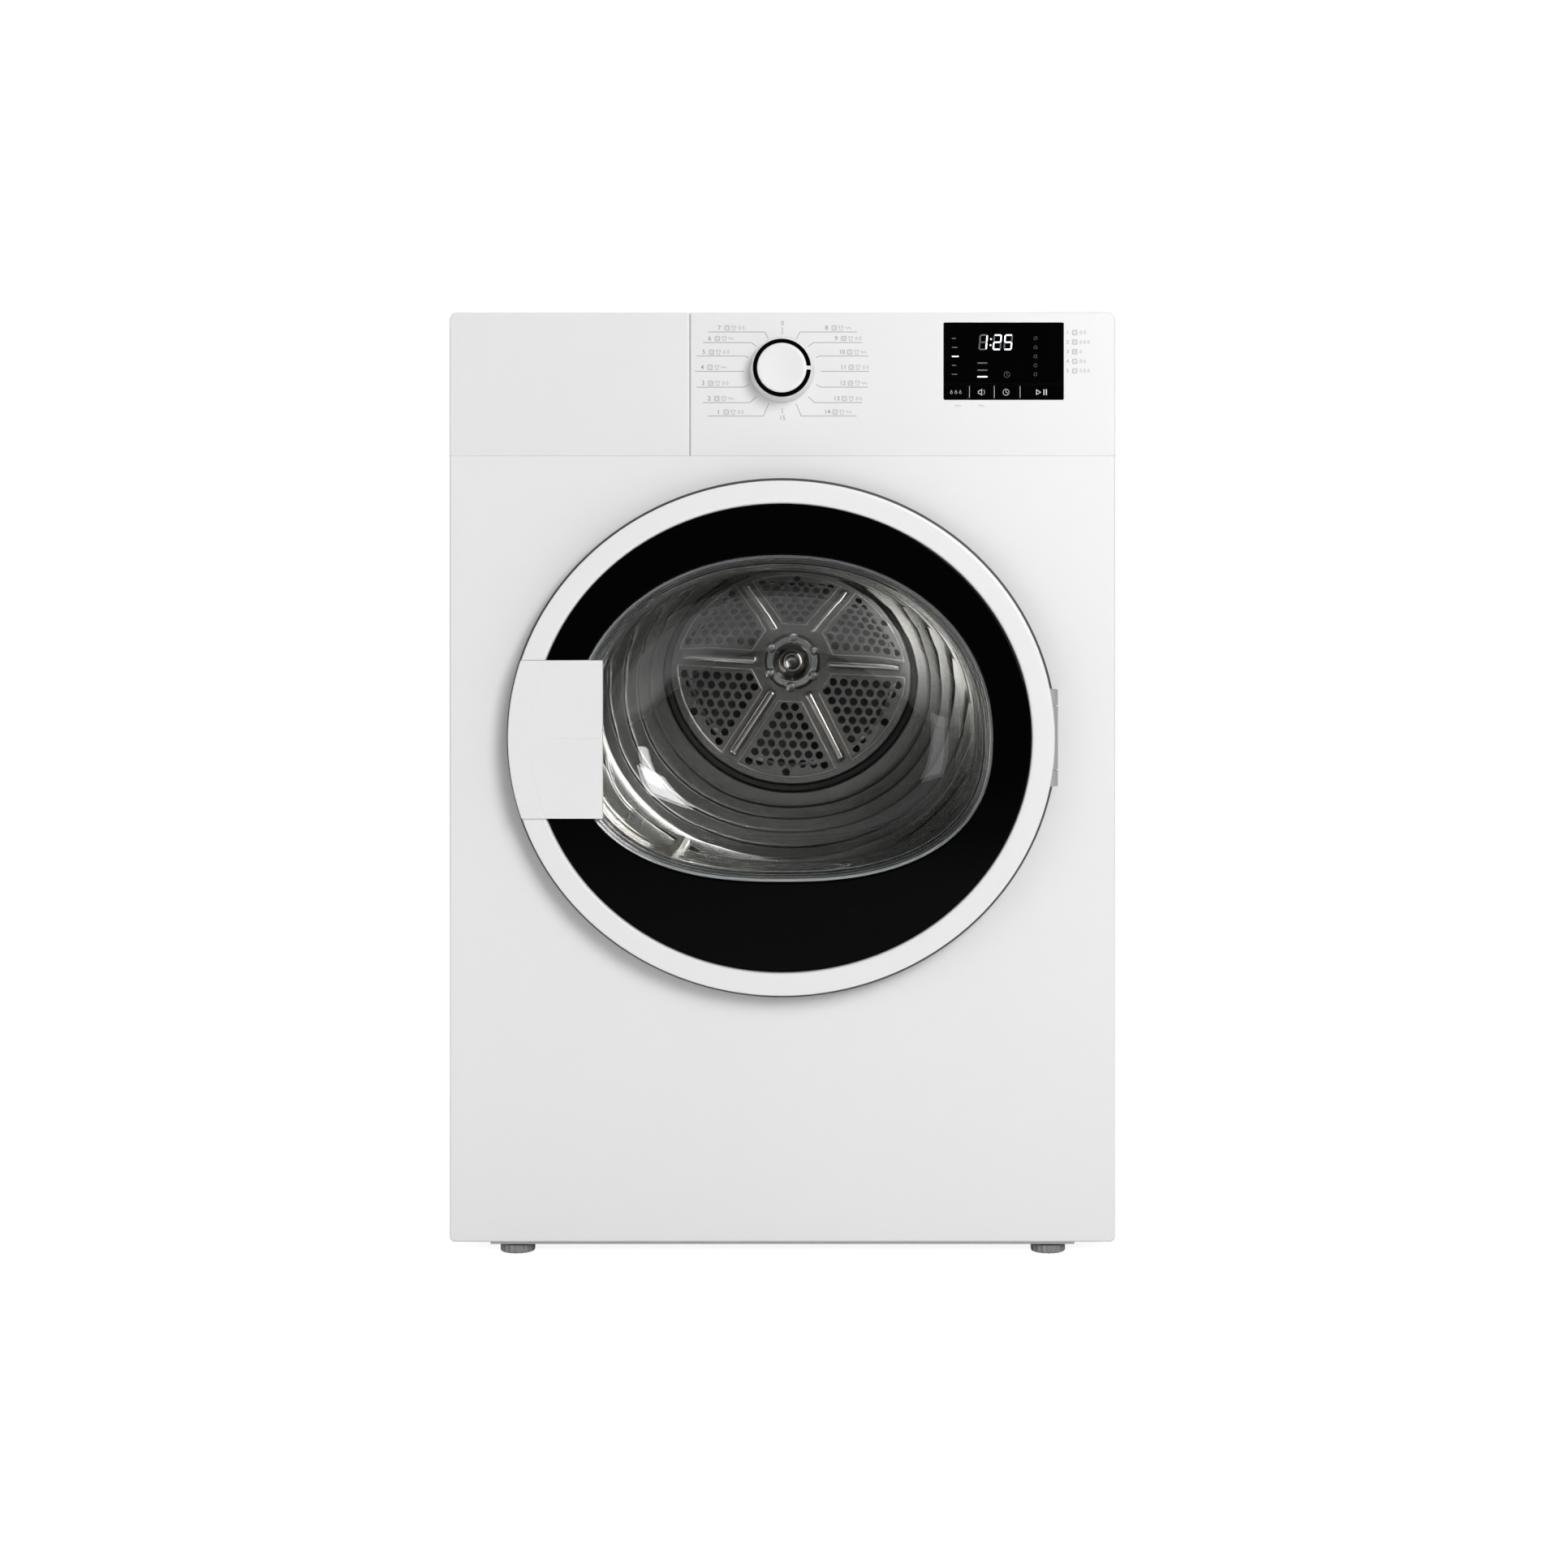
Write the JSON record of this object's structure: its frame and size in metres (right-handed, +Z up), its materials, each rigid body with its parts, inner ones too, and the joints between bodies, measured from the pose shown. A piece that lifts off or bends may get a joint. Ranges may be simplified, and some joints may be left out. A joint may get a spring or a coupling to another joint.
{
  "type": "clothes dryer",
  "caption": "Free-standing compact vented tumble dryer with a round glass-bowl door, side handle, rotary programme knob, key display, spinning steel drum and rear exhaust collar.",
  "frame": {"origin": "middle of the bounding box in plan, on the floor under the feet", "axes": "+Z up, +X to the right seen from the front, front and door towards -Y"},
  "size_m": [0.597, 0.585, 0.846],
  "materials": {
    "white_enamel": "smooth semi-gloss white enamel on sheet steel",
    "worktop_laminate": "white laminate over particle board",
    "white_plastic": "moulded white plastic, fine satin texture",
    "black_gloss": "deep black, mirror gloss",
    "clear_glass": "clear pressed glass with a ribbed lower rim",
    "grey_plastic": "grey moulded plastic",
    "dark_plastic": "charcoal moulded plastic",
    "drum_steel": "bright stainless sheet, pressed and perforated",
    "galvanised_steel": "zinc coated sheet",
    "machined_steel": "turned steel",
    "motor_aluminium": "cast motor shell",
    "black_rubber": "matt black rubber",
    "felt": "pressed wool felt",
    "circuit_board": "green solder mask"
  },
  "bodies": {
    "root": {"left_side_panel": "white_enamel", "right_side_panel": "white_enamel", "front_panel": "white_enamel", "top_panel": "worktop_laminate", "control_fascia": "white_plastic", "fascia_blank_cover": "white_plastic", "hinge_bracket": "white_plastic", "lint_filter": "white_plastic", "display_window": "black_gloss", "base_pan": "grey_plastic", "front_bulkhead": "grey_plastic", "filter_duct": "grey_plastic", "selector_switch": "dark_plastic", "door_catch": "dark_plastic", "blower_housing": "dark_plastic", "drum_shaft_bush": "dark_plastic", "terminal_cover": "dark_plastic", "moisture_sensor": "drum_steel", "rear_panel": "galvanised_steel", "exhaust_pipe": "galvanised_steel", "rear_bearing_bracket": "galvanised_steel", "heater_duct": "galvanised_steel", "heater_element": "machined_steel", "tension_spring": "machined_steel", "motor_housing": "motor_aluminium", "drive_belt": "black_rubber", "cord_entry_grommet": "black_rubber", "drum_front_seal": "felt", "drum_rear_seal": "felt", "control_board": "circuit_board"},
    "door": {"door_outer_ring": "white_plastic", "door_window_trim": "black_gloss", "door_glass_bowl": "clear_glass", "door_inner_frame": "grey_plastic", "door_seal": "black_rubber", "door_handle": "white_plastic", "door_strike": "grey_plastic", "hinge_leaf": "galvanised_steel", "hinge_pin": "machined_steel"},
    "drum": {"drum_shell": "drum_steel", "drum_rear_wall": "drum_steel", "drum_shaft": "machined_steel", "drum_lifter_1": "drum_steel", "drum_lifter_2": "drum_steel", "drum_lifter_3": "drum_steel"},
    "motor_rotor_body": {"motor_rotor": "machined_steel", "blower_impeller": "grey_plastic"},
    "idler_arm_body": {"idler_arm": "galvanised_steel"},
    "idler_pulley_body": {"idler_pulley": "dark_plastic"},
    "roller_left_body": {"support_roller_left": "dark_plastic"},
    "roller_right_body": {"support_roller_right": "dark_plastic"},
    "knob_body": {"programme_knob": "white_plastic"},
    "key_dry_level_body": {"key_dry_level": "black_gloss"},
    "key_signal_body": {"key_signal": "black_gloss"},
    "key_delay_body": {"key_delay": "black_gloss"},
    "key_start_body": {"key_start": "black_gloss"},
    "foot_front_left_body": {"foot_front_left": "dark_plastic"},
    "foot_front_right_body": {"foot_front_right": "dark_plastic"},
    "foot_rear_left_body": {"foot_rear_left": "dark_plastic"},
    "foot_rear_right_body": {"foot_rear_right": "dark_plastic"}
  },
  "joints": [
    {"name": "door_hinge", "type": "hinge", "parent": "root", "child": "door", "pos_m": [0.2391, -0.2775, 0.465], "axis": [0, 0, 1], "range_deg": [0, 140]},
    {"name": "drum_spin", "type": "hinge", "parent": "root", "child": "drum", "pos_m": [0, 0, 0.525], "axis": [0, 1, 0], "continuous": true},
    {"name": "rotor_spin", "type": "hinge", "parent": "root", "child": "motor_rotor_body", "pos_m": [0.04, 0, 0.13], "axis": [0, 1, 0], "continuous": true},
    {"name": "idler_swing", "type": "hinge", "parent": "root", "child": "idler_arm_body", "pos_m": [-0.08, 0, 0.09], "axis": [0, -1, 0], "range_deg": [0, 8], "stiffness_Nm_per_rad": 5, "springref_deg": -17.19},
    {"name": "idler_spin", "type": "hinge", "parent": "idler_arm_body", "child": "idler_pulley_body", "pos_m": [-0.07975, 0, 0.21368], "axis": [0, 1, 0], "continuous": true},
    {"name": "roller_left_spin", "type": "hinge", "parent": "root", "child": "roller_left_body", "pos_m": [-0.15913, 0, 0.27033], "axis": [0, 1, 0], "continuous": true},
    {"name": "roller_right_spin", "type": "hinge", "parent": "root", "child": "roller_right_body", "pos_m": [0.15913, 0, 0.27033], "axis": [0, 1, 0], "continuous": true},
    {"name": "knob_turn", "type": "hinge", "parent": "root", "child": "knob_body", "pos_m": [0, 0, 0.794], "axis": [0, 1, 0], "continuous": true},
    {"name": "key_dry_level_press", "type": "slide", "parent": "root", "child": "key_dry_level_body", "axis": [0, 1, 0], "range_m": [0, 0.001], "stiffness_N_per_m": 300, "springref_m": -0.001},
    {"name": "key_signal_press", "type": "slide", "parent": "root", "child": "key_signal_body", "axis": [0, 1, 0], "range_m": [0, 0.001], "stiffness_N_per_m": 300, "springref_m": -0.001},
    {"name": "key_delay_press", "type": "slide", "parent": "root", "child": "key_delay_body", "axis": [0, 1, 0], "range_m": [0, 0.001], "stiffness_N_per_m": 300, "springref_m": -0.001},
    {"name": "key_start_press", "type": "slide", "parent": "root", "child": "key_start_body", "axis": [0, 1, 0], "range_m": [0, 0.001], "stiffness_N_per_m": 300, "springref_m": -0.001},
    {"name": "foot_front_left_level", "type": "slide", "parent": "root", "child": "foot_front_left_body", "axis": [0, 0, -1], "range_m": [0, 0.015]},
    {"name": "foot_front_right_level", "type": "slide", "parent": "root", "child": "foot_front_right_body", "axis": [0, 0, -1], "range_m": [0, 0.015]},
    {"name": "foot_rear_left_level", "type": "slide", "parent": "root", "child": "foot_rear_left_body", "axis": [0, 0, -1], "range_m": [0, 0.015]},
    {"name": "foot_rear_right_level", "type": "slide", "parent": "root", "child": "foot_rear_right_body", "axis": [0, 0, -1], "range_m": [0, 0.015]}
  ],
  "couplings": [
    {"joint": "rotor_spin", "follows": "drum_spin", "ratio": 25.107},
    {"joint": "idler_spin", "follows": "drum_spin", "ratio": -14.646},
    {"joint": "roller_left_spin", "follows": "drum_spin", "ratio": -14},
    {"joint": "roller_right_spin", "follows": "drum_spin", "ratio": -14}
  ]
}
